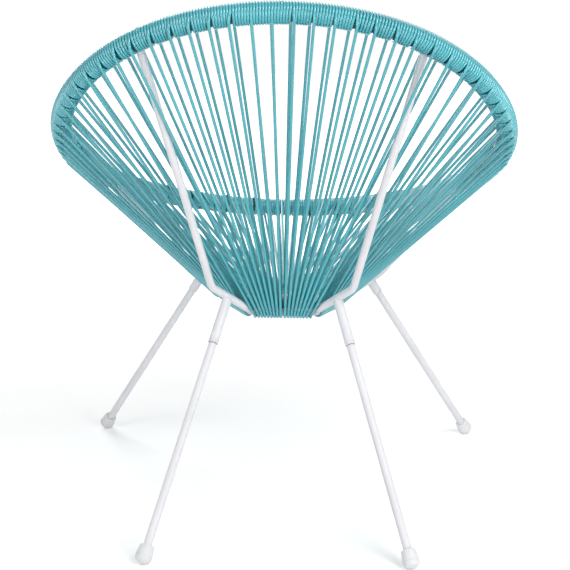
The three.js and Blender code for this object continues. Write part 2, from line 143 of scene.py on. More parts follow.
def tube_data(points, radius, sides, closed=False):
    """Vertices and faces of a round tube, whose radius may change along it."""
    points = np.asarray(points, float)
    count = len(points)
    radii = np.broadcast_to(np.asarray(radius, float), (count,))
    tangents, normals = transported(points, closed)
    binormals = np.cross(tangents, normals)
    angle = np.arange(sides) / sides * 2 * math.pi
    ring = (
        normals[:, None, :] * np.cos(angle)[None, :, None]
        + binormals[:, None, :] * np.sin(angle)[None, :, None]
    )
    verts = (points[:, None, :] + ring * radii[:, None, None]).reshape(-1, 3)
    faces = []
    for i in range(count if closed else count - 1):
        a, b = i * sides, ((i + 1) % count) * sides
        for k in range(sides):
            m = (k + 1) % sides
            faces.append((a + k, a + m, b + m, b + k))
    if not closed:
        faces.append(tuple(reversed(range(sides))))
        faces.append(tuple(range((count - 1) * sides, count * sides)))
    return verts, faces


def tube(name, points, radius, sides, closed=False):
    return make_mesh(name, *tube_data(points, radius, sides, closed))


def lathe_data(profile, sides):
    """Surface turned round Z from (radius, height) pairs; an end on the axis is one point."""
    verts, rows = [], []
    for radius, height in profile:
        count = sides if radius > 0 else 1
        rows.append([len(verts) + k for k in range(count)])
        for k in range(count):
            angle = k / sides * 2 * math.pi
            verts.append((radius * math.cos(angle), radius * math.sin(angle), height))
    faces = []
    for low, high in zip(rows[:-1], rows[1:]):
        for k in range(sides):
            m = (k + 1) % sides
            corners = ((low, k), (low, m), (high, m), (high, k))
            face = tuple(dict.fromkeys(row[i % len(row)] for row, i in corners))
            if len(face) > 2:
                faces.append(face)
    return np.array(verts, float), faces


def finish_piece(obj, material, slot, *nodes):
    obj.data.materials.clear()
    obj.data.materials.append(material)
    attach(obj, "root")
    if nodes:
        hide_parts(*nodes)


# ---------------------------------------------------------------- paths


def distances(points):
    """Length along a path at each of its points."""
    return np.concatenate([[0], np.cumsum(np.linalg.norm(np.diff(points, axis=0), axis=1))])


def interpolated(distance, along, values):
    return np.array([np.interp(distance, along, values[:, i]) for i in range(3)])


def bent_path(corners, steps):
    """Points through corners (point, bend radius or None), each rounded by its bend."""
    points = []
    for i, (at, bend) in enumerate(corners):
        if not bend:
            points.append(at)
            continue
        back, ahead = unit(corners[i - 1][0] - at), unit(corners[i + 1][0] - at)
        half = math.acos(np.clip(back @ ahead, -1, 1)) / 2
        centre = at + unit(back + ahead) * bend / math.sin(half)
        start = at + back * bend / math.tan(half) - centre
        end = at + ahead * bend / math.tan(half) - centre
        sweep = math.acos(np.clip(unit(start) @ unit(end), -1, 1))
        axis = unit(np.cross(start, end))
        for step in range(steps + 1):
            turn = sweep * step / steps
            spoke = (
                start * math.cos(turn)
                + np.cross(axis, start) * math.sin(turn)
                + axis * (axis @ start) * (1 - math.cos(turn))
            )
            points.append(centre + spoke)
    return np.array(points)


def densified(points, step):
    """The same path with no span longer than step."""
    out = [points[0]]
    for a, b in zip(points[:-1], points[1:]):
        n = max(1, int(math.ceil(np.linalg.norm(b - a) / step)))
        out.extend(a + (b - a) * k / n for k in range(1, n + 1))
    return np.array(out)


def softened(a, b, c, reach, share, steps):
    """Points that round a path's corner b, within reach of it and a share of its sides."""
    r = min(reach, share * np.linalg.norm(a - b), share * np.linalg.norm(c - b))
    p, q = b + unit(a - b) * r, b + unit(c - b) * r
    parts = [k / steps for k in range(steps + 1)]
    return [p * (1 - t) ** 2 + b * 2 * t * (1 - t) + q * t * t for t in parts]


def mirrored(points):
    return np.asarray(points) * vec(-1, 1, 1)


# ---------------------------------------------------------------- rim, hub and frame lines


def rim_line():
    t = np.arange(RIM_STEPS + 1) / RIM_STEPS * 2 * math.pi
    u = (1 - np.cos(t)) / 2
    run, drop = RIM_BACK[0] - RIM_FRONT[0], RIM_BACK[1] - RIM_FRONT[1]
    controls = [
        RIM_BACK,
        (RIM_BACK[0] - run * BACK_HANDLE[0], RIM_BACK[1] - drop * BACK_HANDLE[1]),
        (RIM_BACK[0] - run * FRONT_HANDLE[0], RIM_BACK[1] - drop * FRONT_HANDLE[1]),
        RIM_FRONT,
    ]
    basis = [(1 - u) ** 3, 3 * u * (1 - u) ** 2, 3 * u * u * (1 - u), u**3]
    y = sum(part * control[0] for part, control in zip(basis, controls))
    z = sum(part * control[1] for part, control in zip(basis, controls))

    def outward(angle):
        waves = sum(s * np.cos((i + 1) * angle) for i, s in enumerate(RIM_FULLNESS))
        return np.sin(angle) * (1 + waves)

    widest = outward(np.arange(WIDTH_STEPS + 1) * math.pi / WIDTH_STEPS).max()
    x = RIM_HALF_WIDTH * outward(t) / widest
    return np.stack([x, y, z], axis=1)


RIM = rim_line()
RIM_ALONG = distances(RIM)
RIM_LENGTH = RIM_ALONG[-1]
RIM_TANGENT = np.gradient(np.concatenate([RIM[-2:-1], RIM, RIM[1:2]]), axis=0)[1:-1]
RIM_TANGENT /= np.linalg.norm(RIM_TANGENT, axis=1)[:, None]
PAIR_PITCH = RIM_LENGTH / PAIRS


def rim_at(s):
    """Point and heading of the rim's axis at a length along it."""
    s = np.mod(s, RIM_LENGTH)
    heading = interpolated(s, RIM_ALONG, RIM_TANGENT)
    return interpolated(s, RIM_ALONG, RIM), unit(heading)


HUB_HALF = bent_path(
    [(vec(0, HUB_BACK_Y, HUB_HEIGHT), None)]
    + [(vec(x, y, HUB_HEIGHT), bend) for (x, y), bend in HUB_CORNERS]
    + [(vec(0, HUB_FRONT_Y, HUB_HEIGHT), None)],
    HUB_BEND_STEPS,
)
HUB_ALONG = distances(HUB_HALF)


def corner_on_hub(x, y):
    """The hub's point nearest to a corner before its bend, and its length along the hub."""
    nearest = int(np.linalg.norm(HUB_HALF - vec(x, y, HUB_HEIGHT), axis=1).argmin())
    return HUB_HALF[nearest], HUB_ALONG[nearest]


REAR_JOINT, REAR_JOINT_AT = corner_on_hub(*HUB_CORNERS[0][0])
FRONT_JOINT, FRONT_JOINT_AT = corner_on_hub(*HUB_CORNERS[1][0])


def hub_places():
    """Where each pair of one side goes round the hub, bay by bay between the joints."""
    bays = (
        (0.0, REAR_JOINT_AT - BARE_BEHIND_REAR),
        (REAR_JOINT_AT + BARE_BEFORE_REAR, FRONT_JOINT_AT - BARE_BEHIND_FRONT),
        (FRONT_JOINT_AT + BARE_BEFORE_FRONT, HUB_ALONG[-1]),
    )
    return [
        low + (high - low) * (i + 0.5) / count
        for count, (low, high) in zip(BAY_PAIRS, bays)
        for i in range(count)
    ]


HUB_PLACES = hub_places()


def on_left(pair):
    return pair < PAIRS // 2


def from_back(pair):
    """How many pairs of its side lie between a pair and the rim's back."""
    return pair if on_left(pair) else PAIRS - 1 - pair


def hub_at(pair):
    """Point and heading of the hub where a pair goes round it."""
    pair %= PAIRS
    place = HUB_PLACES[from_back(pair)]
    point, ahead, behind = (
        interpolated(place + shift, HUB_ALONG, HUB_HALF)
        for shift in (0.0, 2 * CORD_RADIUS, -2 * CORD_RADIUS)
    )
    heading = unit(ahead - behind)
    return (point, heading) if on_left(pair) else (mirrored(point), -mirrored(heading))


def support_path(pair, bend, joint):
    top, _ = rim_at(pair * PAIR_PITCH)
    corners = [(top, None), (vec(*bend), FRAME_BEND_RADIUS), (joint, None)]
    return bent_path(corners, FRAME_BEND_STEPS)


SUPPORTS = {}
for side, side_name in ((1, "left"), (-1, "right")):
    for end, pair, bend, joint in (
        ("rear", REAR_JOINT_PAIR, REAR_BEND, REAR_JOINT),
        ("front", FRONT_JOINT_PAIR, FRONT_BEND, FRONT_JOINT),
    ):
        path = support_path(pair, bend, joint)
        SUPPORTS[f"{end}_support_{side_name}"] = path if side > 0 else mirrored(path)


# ---------------------------------------------------------------- strands on the frame

# How far the cord moves along the hub as it goes round it: its limits, its change for each
# millimetre from where it is 0, and how far forward the rear side's rule holds
HUB_LEAD_LOW, HUB_LEAD_HIGH = -1.5, 2.2
HUB_LEAD_SLOPE, HUB_LEAD_ZERO, REAR_SIDE_DEPTH = 0.15, 19.5, 2.0
LOOP_GAP, BEARING_GAP = 0.1, 0.35
LOOP_RADIUS = TUBE_RADIUS + CORD_RADIUS + LOOP_GAP
BEARING_RADIUS = TUBE_RADIUS + CORD_RADIUS + BEARING_GAP

# The least press that makes a strand bear on a tube, and the point of the tube's bend where
# it is split, because a strand can bear on either half
LEAST_PRESS, SPLIT_POINT = 0.3, 6
NEARLY_PARALLEL = 1e-9

# A strand's corners are rounded, and rings stand near both ends of its longer runs
EASE_REACH, EASE_SHARE, EASE_STEPS = 14.0, 0.45, 4
END_RING, LEAST_RUN = 3.0, 24.0
SAME_POINT = 0.05


def hub_lead(pair):
    """How far the cord moves along the hub as it goes round it, seat side first."""
    x, y = hub_at(pair)[0][:2]
    if y < HUB_BACK_Y - REAR_SIDE_DEPTH:
        return HUB_LEAD_HIGH
    lead = np.clip(HUB_LEAD_SLOPE * (abs(x) - HUB_LEAD_ZERO), HUB_LEAD_LOW, HUB_LEAD_HIGH)
    return math.copysign(1, x) * float(lead)


def seat_side(heading, strand):
    side = unit(np.cross(heading, strand))
    return side if side[2] >= 0 else -side


def approach(a, b, c, d):
    """Closest approach of segment ab to segment cd: share on ab, point on cd, step to ab."""
    first, second, between = b - a, d - c, a - c
    aa, bb, ab = first @ first, second @ second, first @ second
    af, bf = first @ between, second @ between
    s = np.clip((ab * bf - bb * af) / max(aa * bb - ab * ab, NEARLY_PARALLEL), 0, 1)
    t = np.clip((ab * s + bf) / bb, 0, 1)
    on = c + second * t
    return s, on, a + first * s - on


def bearings(a, b):
    """Where a straight run bears on the frame tubes that it would run into."""
    found = []
    for path in SUPPORTS.values():
        for half in (path[: SPLIT_POINT + 1], path[SPLIT_POINT:]):
            share, on, step = min(
                (approach(a, b, c, d) for c, d in zip(half[:-1], half[1:])),
                key=lambda one: np.linalg.norm(one[2]),
            )
            if BEARING_RADIUS - np.linalg.norm(step) > LEAST_PRESS and 0 < share < 1:
                found.append((share, on + unit(step) * BEARING_RADIUS))
    return [point for _, point in sorted(found, key=lambda one: one[0])]


def lay_over(a, b):
    """A strand's bends, laid once more between the first ones."""
    first = [a, *bearings(a, b), b]
    route = []
    for p, q in zip(first[:-1], first[1:]):
        route += [*bearings(p, q), q]
    return route[:-1]


def eased(points):
    """Rounds the corners of a strand where it bears on a tube."""
    out = [points[0]]
    for a, b, c in zip(points[:-2], points[1:-1], points[2:]):
        out += softened(a, b, c, EASE_REACH, EASE_SHARE, EASE_STEPS)
    out.append(points[-1])
    return out


def with_spans(points):
    """Adds points near both ends of a straight run, so that the tube's rings turn evenly."""
    out = []
    for a, b in zip(points[:-1], points[1:]):
        length = np.linalg.norm(b - a)
        out.append(a)
        if length > LEAST_RUN:
            out.append(a + (b - a) * END_RING / length)
            out.append(a + (b - a) * 0.5)
            out.append(b - (b - a) * END_RING / length)
    out.append(points[-1])
    return out


# ---------------------------------------------------------------- turns on the rim

WIND_RADIUS = RIM_RADIUS + CORD_RADIUS

# A strand that leans along the rim is lifted and pulled aside over the start of its turn
RAMP = math.radians(42)
FULL_LEAN, STRAND_LIFT, DRIFT_SHARE, HUB_SIDE_BUNCH = 0.6, 1.7, 0.55, 1.3

# How far a pair's two roots are pushed apart along the rim, as (mean, slack): at the sides,
# just left of the back's middle, and on the left and right of the back; less than 0 crosses
SIDE_SPREAD, MIDDLE_SPREAD = (1.4, 1.0), (0.5, 0.5)
LEFT_SPREAD, RIGHT_SPREAD = (-3.3, 0.5), (2.3, 0.7)
BACK_PAIRS, MIDDLE_PAIRS = 18, 2
SPREAD_LOW, SPREAD_HIGH, DRAW_LIMIT = -4.1, 3.5, 1.6
SPREAD_RAMP = math.radians(62)

# Small faults of the hand-wound cord: each pair's place on the rim, and its roots
SHIFT_SLACK, SHIFT_LIMIT = 0.9, 1.7
PAIR_SHIFTS = np.clip(RNG.normal(0, SHIFT_SLACK, PAIRS), -SHIFT_LIMIT, SHIFT_LIMIT)
ROOT_DRAWS = RNG.normal(0, 1, (PAIRS, 2))
PAIR_AT = [(p + 0.5) * PAIR_PITCH + PAIR_SHIFTS[p] for p in range(PAIRS)]


def rim_frame(s):
    """Axis point, direction to the hub and seat side at a rim length."""
    point, heading = rim_at(s)
    place = s / PAIR_PITCH - 0.5
    low = math.floor(place)
    part = place - low
    target = hub_at(low)[0] * (1 - part) + hub_at(low + 1)[0] * part
    reach = target - point
    near = unit(reach - heading * (reach @ heading))
    side = np.cross(heading, near)
    if side[2] < 0:
        side = -side
    return point, near, side


def lean_of(pair):
    """How far a pair's strands lean along the rim for each unit that they go to the hub."""
    point, heading = rim_at(PAIR_AT[pair])
    reach = hub_at(pair)[0] - point
    return (reach @ heading) / np.linalg.norm(reach - heading * (reach @ heading))


LEANS = [lean_of(p) for p in range(PAIRS)]


def lift_of(lean):
    return STRAND_LIFT * min(1.0, abs(lean) / FULL_LEAN)


def drift_of(lean):
    return DRIFT_SHARE * lean * WIND_RADIUS * RAMP / 2


def spread_of(pair):
    """How far a pair's two roots are pushed apart along the rim, its first strand first."""
    if from_back(pair) >= BACK_PAIRS:
        mean, slack = SIDE_SPREAD
    elif not on_left(pair):
        mean, slack = RIGHT_SPREAD
    else:
        mean, slack = MIDDLE_SPREAD if pair < MIDDLE_PAIRS else LEFT_SPREAD
    spread = mean + slack * np.clip(ROOT_DRAWS[pair], -DRAW_LIMIT, DRAW_LIMIT)
    upright = max(0.0, 1 - abs(LEANS[pair]) / FULL_LEAN)
    return np.clip(spread, SPREAD_LOW, SPREAD_HIGH) * upright


SPREADS = [spread_of(p) for p in range(PAIRS)]


def ridden(spread):
    """How high a strand rides where its root is pushed over the turn beside it."""
    return math.sqrt(max(0.0, CROSSING_GAP**2 - (TURN_SPACING - abs(spread)) ** 2))


def wound(pair):
    """The turns from where a pair comes back to the rim to where the next pair leaves it,
    travelling towards smaller rim lengths."""
    pair %= PAIRS
    following = (pair - 1) % PAIRS
    start = PAIR_AT[pair] - PAIR_LEAD / 2
    stop = PAIR_AT[following] + PAIR_LEAD / 2
    if stop > start:
        stop -= RIM_LENGTH
    turns = round((start - stop) / TURN_SPACING - 0.5) + 0.5
    total = turns * 2 * math.pi
    steps = int(round(turns * POINTS_PER_TURN))
    points = []
    for i in range(steps + 1):
        turned = total * i / steps
        share = turned / total
        phi = math.pi + turned
        lean = LEANS[pair] * (1 - share) + LEANS[following] * share
        # the turns bunch towards the strands on the side that faces the hub
        facing = max(0.0, math.sin(phi)) ** 2
        shift = HUB_SIDE_BUNCH * np.clip(lean, -1, 1) * facing - drift_of(lean)
        radius = WIND_RADIUS + CORD_GAP
        for from_root, root_lean, aside in (
            (turned, LEANS[pair], -SPREADS[pair][1]),
            (total - turned, LEANS[following], SPREADS[following][0]),
        ):
            nearness = max(0.0, 1 - from_root / RAMP) ** 2
            aside *= max(0.0, 1 - from_root / SPREAD_RAMP) ** 2
            shift += drift_of(root_lean) * nearness + aside
            radius += lift_of(root_lean) * nearness + ridden(aside)
        point, near, side = rim_frame(start + (stop - start) * share + shift)
        points.append(point + (side * math.cos(phi) + near * math.sin(phi)) * radius)
    return np.array(points)


def root(pair, offset, spread, way):
    """Where a strand leaves the rim, on its seat side (way 1) or its outer side (way -1)."""
    point, _, side = rim_frame(PAIR_AT[pair] + offset)
    height = WIND_RADIUS + CORD_GAP + lift_of(LEANS[pair]) + ridden(spread)
    return point + side * height * way


def strands(pair):
    """From the rim's seat side down, round the hub and back up to the rim's outer side."""
    down_spread, back_spread = SPREADS[pair]
    start = root(pair, PAIR_LEAD / 2 + down_spread, down_spread, 1)
    end = root(pair, -PAIR_LEAD / 2 - back_spread, back_spread, -1)
    hub_point, hub_heading = hub_at(pair)
    reach = hub_point - rim_at(PAIR_AT[pair])[0]
    hub_side = seat_side(hub_heading, reach)
    outward = unit(np.cross(hub_heading, hub_side))
    if outward @ reach > 0:
        outward = -outward
    loop, lead = [], hub_lead(pair)
    for step in range(POINTS_PER_LOOP + 1):
        turn = step / POINTS_PER_LOOP * math.pi
        loop.append(
            hub_point
            + hub_side * math.cos(turn) * LOOP_RADIUS
            - outward * math.sin(turn) * LOOP_RADIUS
            + hub_heading * math.cos(turn) * lead / 2
        )
    down = [start, *lay_over(start, loop[0]), loop[0]]
    back = [loop[-1], *lay_over(loop[-1], end), end]
    return down, loop, back


def cord_route(section):
    """The cord's line through one section of the winding and its pairs of strands, and the
    cord's radius at each point of it."""
    low, high = section * PAIRS_PER_SECTION, (section + 1) * PAIRS_PER_SECTION
    points, radii = [], []

    def extend(more, radius):
        for p in more:
            if not points or np.linalg.norm(p - points[-1]) > SAME_POINT:
                points.append(np.asarray(p))
                radii.append(radius)

    turns = wound(high)
    extend(turns[len(turns) // 2 :], TURN_CORD_RADIUS)
    for pair in range(high - 1, low - 1, -1):
        down, loop, back = strands(pair)
        extend(with_spans(eased(down)), STRAND_CORD_RADIUS)
        extend(loop, STRAND_CORD_RADIUS)
        extend(with_spans(eased(back)), STRAND_CORD_RADIUS)
        turns = wound(pair)
        extend(turns if pair > low else turns[: len(turns) // 2 + 1], TURN_CORD_RADIUS)
    return np.array(points), np.array(radii)


# ---------------------------------------------------------------- materials

COLOUR_STOPS = (0.3, 0.7)


def new_material(name):
    mat = bpy.data.materials.new(name)
    mat.use_nodes = True
    tree = mat.node_tree
    tree.nodes.clear()
    out = tree.nodes.new("ShaderNodeOutputMaterial")
    bsdf = tree.nodes.new("ShaderNodeBsdfPrincipled")
    tree.links.new(bsdf.outputs["BSDF"], out.inputs["Surface"])
    return mat, tree, bsdf


def srgb(r, g, b):
    def linear(c):
        c /= 255
        return c / 12.92 if c <= 0.04045 else ((c + 0.055) / 1.055) ** 2.4

    return (linear(r), linear(g), linear(b), 1.0)


def noise(tree, scale, detail):
    place = tree.nodes.new("ShaderNodeTexCoord")
    texture = tree.nodes.new("ShaderNodeTexNoise")
    texture.inputs["Scale"].default_value = scale
    texture.inputs["Detail"].default_value = detail
    tree.links.new(place.outputs["Object"], texture.inputs["Vector"])
    return texture.outputs["Fac"]


def coloured(tree, bsdf, source, low, high):
    """Base colour that goes from low to high with the noise."""
    node = tree.nodes.new("ShaderNodeValToRGB")
    for element, stop, colour in zip(node.color_ramp.elements, COLOUR_STOPS, (low, high)):
        element.position = stop
        element.color = srgb(*colour)
    tree.links.new(source, node.inputs["Fac"])
    tree.links.new(node.outputs["Color"], bsdf.inputs["Base Color"])


def roughened(tree, bsdf, source, low, high):
    node = tree.nodes.new("ShaderNodeMapRange")
    node.inputs["To Min"].default_value = low
    node.inputs["To Max"].default_value = high
    tree.links.new(source, node.inputs["Value"])
    tree.links.new(node.outputs["Result"], bsdf.inputs["Roughness"])


def bumped(tree, bsdf, source, strength, distance_m):
    node = tree.nodes.new("ShaderNodeBump")
    node.inputs["Strength"].default_value = strength
    node.inputs["Distance"].default_value = distance_m
    tree.links.new(source, node.inputs["Height"])
    tree.links.new(node.outputs["Normal"], bsdf.inputs["Normal"])


def surface(name, wide, colours, roughness, fine=None, bump=None):
    """A material whose wide noise (scale, detail) varies its colour, and whose fine noise,
    or else the wide one, varies its roughness and its relief (strength, metres)."""
    mat, tree, bsdf = new_material(name)
    wide_noise = noise(tree, *wide)
    coloured(tree, bsdf, wide_noise, *colours)
    fine_noise = noise(tree, *fine) if fine else wide_noise
    roughened(tree, bsdf, fine_noise, *roughness)
    if bump:
        bumped(tree, bsdf, fine_noise, *bump)
    return mat, bsdf


CORD, cord_bsdf = surface(
    "pvc_cord",
    wide=(9.0, 2.0),
    colours=((40, 158, 170), (56, 174, 185)),
    roughness=(0.2, 0.28),
    fine=(900.0, 3.0),
    bump=(0.02, 0.0004),
)
cord_bsdf.inputs["IOR"].default_value = 1.52
cord_bsdf.inputs["Specular IOR Level"].default_value = 1.0
cord_bsdf.inputs["Coat Weight"].default_value = 0.4
cord_bsdf.inputs["Coat Roughness"].default_value = 0.14

PAINT, _ = surface(
    "powder_coat",
    wide=(14.0, 2.0),
    colours=((222, 221, 225), (230, 229, 232)),
    roughness=(0.34, 0.46),
    fine=(700.0, 2.0),
    bump=(0.12, 0.0003),
)
CAP, _ = surface(
    "moulded_cap",
    wide=(25.0, 2.0),
    colours=((222, 222, 223), (229, 229, 230)),
    roughness=(0.44, 0.58),
    fine=(1100.0, 3.0),
    bump=(0.1, 0.0003),
)
# Painted shade: the rim's core tube is drawn dark teal in place of the frame's white paint, so
# that the narrow gaps between the turns show shade
RIM_PAINTED_SHADE, _ = surface(
    "rim_core_painted_shade",
    wide=(60.0, 3.0),
    colours=((24, 92, 104), (38, 108, 118)),
    roughness=(0.5, 0.7),
)
STEEL, steel_bsdf = surface(
    "zinc_steel",
    wide=(400.0, 4.0),
    colours=((150, 152, 156), (188, 190, 194)),
    roughness=(0.28, 0.45),
)
steel_bsdf.inputs["Metallic"].default_value = 1.0

# ---------------------------------------------------------------- cord pieces

for section in range(SECTIONS):
    label = f"{section + 1:02d}"
    piece = tube(f"cord_run_{label}", *cord_route(section), CORD_SIDES)
    finish_piece(piece, CORD, "cord", f"cord_section_{label}")

# ---------------------------------------------------------------- frame pieces

HUB_SPAN, SUPPORT_SPAN = 12.0, 25.0

rim_stations = [RIM_LENGTH * k / RIM_DRAWN_STEPS for k in range(RIM_DRAWN_STEPS)]
rim_points = np.stack([rim_at(s)[0] for s in rim_stations])
rim_core = tube("rim_core", rim_points, RIM_RADIUS - CORD_GAP, RIM_SIDES, True)
# The core takes the dark painted-shade material in place of the frame's white paint
finish_piece(rim_core, RIM_PAINTED_SHADE, "frame_paint", "rim_tube")

hub_loop = np.concatenate([HUB_HALF, mirrored(HUB_HALF[1:-1][::-1])])
hub_loop = densified(np.concatenate([hub_loop, hub_loop[:1]]), HUB_SPAN)[:-1]
hub_hoop = tube("hub_hoop", hub_loop, TUBE_RADIUS, TUBE_SIDES, True)
finish_piece(hub_hoop, PAINT, "frame_paint", "hub_ring")

for name, path in SUPPORTS.items():
    stay_name = name.replace("support", "stay")
    piece = tube(stay_name, densified(path, SUPPORT_SPAN), TUBE_RADIUS, TUBE_SIDES)
    finish_piece(piece, PAINT, "frame_paint", name)

# ---------------------------------------------------------------- legs

# End, foot (x, y), share of the support's lower run where it is welded, socket length
FEET = (
    ("rear", (197.0, 353.0), 0.35, 80.0),
    ("front", (340.0, -247.0), 0.2, 30.0),
)
CAP_SIDES, LEG_SIDES = 48, 28

# Cap: radii of its ring and top, its collar's height, its dome's depth and its worn flat,
# then the groove's height, rise and depth, and the collar's chamfer
CAP_RING, CAP_TOP, CAP_COLLAR, CAP_DOME, CAP_FLAT = 12.9, 10.8, 19.0, 10.0, 0.8
GROOVE_AT, GROOVE_RISE, GROOVE_DEPTH, CAP_CHAMFER = 1.4, 1.3, 0.8, 0.9
CAP_SHOULDER, CAP_FLOOR, CAP_BORE_GAP, DOME_STEPS = 0.3, 1.5, 0.3, 10

# Leg tube, and the hole in its top for the stud
LEG_RADIUS, LEG_START, LEG_ROWS, SEAM_GAP = 6.5, 1.8, 8, 0.5
STUD_HOLE_RADIUS, STUD_HOLE_DEPTH = 4.2, 6.0

# Socket, and its rounded top as (radius, distance below the top)
SOCKET_RADIUS, SOCKET_BORE, SOCKET_DEPTH, SOCKET_ROWS = 8.0, 6.5, 20.0, 4
SOCKET_SHORT, SOCKET_SHOULDER = 1.0, 6.0
SOCKET_TOP = ((7.8, 4.0), (7.2, 2.0), (6.2, 0.6), (5.0, 0.0), (0.0, 0.0))

CAP_EDGE, TUBE_EDGE, EDGE_SHARE, EDGE_STEPS, NEARLY_STRAIGHT = 0.3, 0.6, 0.4, 3, 0.94


def leg_axis(support, weld_share, foot_x, foot_y):
    """Centre of a cap's dome, and the point on the support that its leg points at."""
    bend_end, hub_end = support[-2], support[-1]
    # the CAD tube's mouth stops a quarter diameter short of the hub's axis
    hub_end = hub_end + unit(bend_end - hub_end) * 2 * TUBE_RADIUS / 4
    weld = bend_end + (hub_end - bend_end) * weld_share
    lean = math.acos(unit(weld - vec(foot_x, foot_y, 0))[2])
    reach = math.hypot(math.sin(lean) * CAP_RING, math.cos(lean) * CAP_DOME)
    return vec(foot_x, foot_y, reach - CAP_FLAT), weld


def placed(verts, foot, weld):
    turn = Vector((0, 0, 1)).rotation_difference(Vector(unit(weld - foot))).to_matrix()
    return verts @ np.array(turn).T + foot


def round_edge(profile, reach):
    """Softens each sharp corner of a lathe profile."""
    corners = [vec(*corner) for corner in profile]
    out = [profile[0]]
    for a, b, c in zip(corners[:-2], corners[1:-1], corners[2:]):
        if unit(b - a) @ unit(c - b) > NEARLY_STRAIGHT:
            out.append(tuple(b))
        else:
            out += [tuple(p) for p in softened(a, b, c, reach, EDGE_SHARE, EDGE_STEPS)]
    out.append(profile[-1])
    return out


def cap_profile():
    angles = [k / DOME_STEPS * math.pi / 2 for k in range(DOME_STEPS + 1)]
    dome = [(math.sin(a) * CAP_RING, -math.cos(a) * CAP_DOME) for a in angles]
    groove_end, bore = GROOVE_AT + GROOVE_RISE, LEG_RADIUS + CAP_BORE_GAP
    wall = [
        (CAP_RING, CAP_SHOULDER),
        (CAP_RING, GROOVE_AT),
        (CAP_RING - GROOVE_DEPTH, GROOVE_AT),
        (CAP_RING - GROOVE_DEPTH, groove_end),
        (CAP_RING, groove_end),
        (CAP_TOP, CAP_COLLAR - CAP_CHAMFER),
        (CAP_TOP - CAP_CHAMFER, CAP_COLLAR),
        (bore, CAP_COLLAR),
        (bore, CAP_FLOOR),
        (0.0, CAP_FLOOR),
    ]
    return dome + round_edge(wall, CAP_EDGE)


def leg_profile(seam):
    top = seam - SEAM_GAP
    rows = [LEG_START + (top - LEG_START) * k / LEG_ROWS for k in range(LEG_ROWS + 1)]
    hole = [
        (STUD_HOLE_RADIUS, rows[-1]),
        (STUD_HOLE_RADIUS, rows[-1] - STUD_HOLE_DEPTH),
        (0.0, rows[-1] - STUD_HOLE_DEPTH),
    ]
    return round_edge([(0.0, rows[0])] + [(LEG_RADIUS, h) for h in rows] + hole, TUBE_EDGE)


def socket_profile(seam, height):
    top = height - SOCKET_SHORT
    mouth = [
        (0.0, seam + SOCKET_DEPTH),
        (SOCKET_BORE, seam + SOCKET_DEPTH),
        (SOCKET_BORE, seam),
        (SOCKET_RADIUS, seam),
    ]
    run = top - SOCKET_SHOULDER - seam
    wall = [(SOCKET_RADIUS, seam + run * k / SOCKET_ROWS) for k in range(1, SOCKET_ROWS + 1)]
    crown = [(radius, top - below) for radius, below in SOCKET_TOP]
    return round_edge(mouth, TUBE_EDGE) + wall + crown


for side, side_name in ((1, "left"), (-1, "right")):
    for end, (foot_x, foot_y), weld_share, socket_length in FEET:
        name = f"{end}_{side_name}"
        support = SUPPORTS[f"{end}_support_{side_name}"]
        foot, weld = leg_axis(support, weld_share, side * foot_x, foot_y)
        height = np.linalg.norm(weld - foot)
        seam = height - socket_length

        verts, faces = lathe_data(cap_profile(), CAP_SIDES)
        verts = placed(verts, foot, weld)
        verts[:, 2] = np.maximum(verts[:, 2], 0.0)
        cap = make_mesh(f"foot_{name}", verts, faces)
        finish_piece(cap, CAP, "cap_plastic", f"foot_cap_{name}")

        for piece_name, node_name, profile in (
            ("leg", "leg_tube", leg_profile(seam)),
            ("socket", "leg_socket", socket_profile(seam, height)),
        ):
            verts, faces = lathe_data(profile, LEG_SIDES)
            piece = make_mesh(f"{piece_name}_{name}", placed(verts, foot, weld), faces)
            finish_piece(piece, PAINT, "frame_paint", f"{node_name}_{name}")

        for node in (f"leg_stud_{name}", f"socket_insert_{name}"):
            obj = NODES[node]
            obj.data.materials.clear()
            obj.data.materials.append(STEEL)

# ---------------------------------------------------------------- stage, light, camera

WHITE = (1, 1, 1, 1)
AMBIENT = 0.26
FLOOR_HALF = 9000
FLOOR_ROUGHNESS = 0.95
FLOOR_NOISE = (3.0, 2.0)
FLOOR_COLOURS = ((249, 249, 249), (252, 252, 252))

# The floor's glow near the chair and far from it, and those two distances in metres
GLOW_NEAR, GLOW_FAR, NEAR_M, FAR_M = 0.23, 1.0, 0.7, 2.6

# Lamps: place, aim and size in metres, and power in watts
LAMPS = {
    "key": ((-1.4, 1.5, 2.5), (0, 0, 0.5), (1.7, 1.2), 38),
    "low": ((-1.6, 2.3, 0.8), (0, 0, 0.4), (0.9, 1.2), 25),
    "fill": ((1.9, 1.7, 1.1), (0, 0, 0.45), (1.4, 1.4), 18),
    "top": ((0.2, -1.1, 2.4), (0, -0.2, 0.45), (1.2, 1.0), 8),
    "front": ((1.3, -2.5, 1.5), (0, 0, 0.4), (1.6, 1.4), 32),
}

# The photograph's camera: its place, its yaw, pitch and roll in radians, and its focal
# length and picture width in pixels
CAMERA_AT = vec(-42.93, 2193.34, 860.32)
CAMERA_YAW, CAMERA_PITCH, CAMERA_ROLL = 0.0190, 0.2319, 0.0093
FOCAL_PIXELS, PICTURE_PIXELS, SENSOR_WIDTH = 1351.25, 570, 36.0
CLIP_START_M, CLIP_END_M = 0.05, 60.0


def camera_rays(tree):
    """1 for rays that come straight from the camera, or by way of gloss or glass."""
    path = tree.nodes.new("ShaderNodeLightPath")
    total = path.outputs["Is Camera Ray"]
    for kind in ("Is Glossy Ray", "Is Transmission Ray"):
        add = tree.nodes.new("ShaderNodeMath")
        add.operation = "ADD"
        add.use_clamp = True
        tree.links.new(total, add.inputs[0])
        tree.links.new(path.outputs[kind], add.inputs[1])
        total = add.outputs["Value"]
    return total


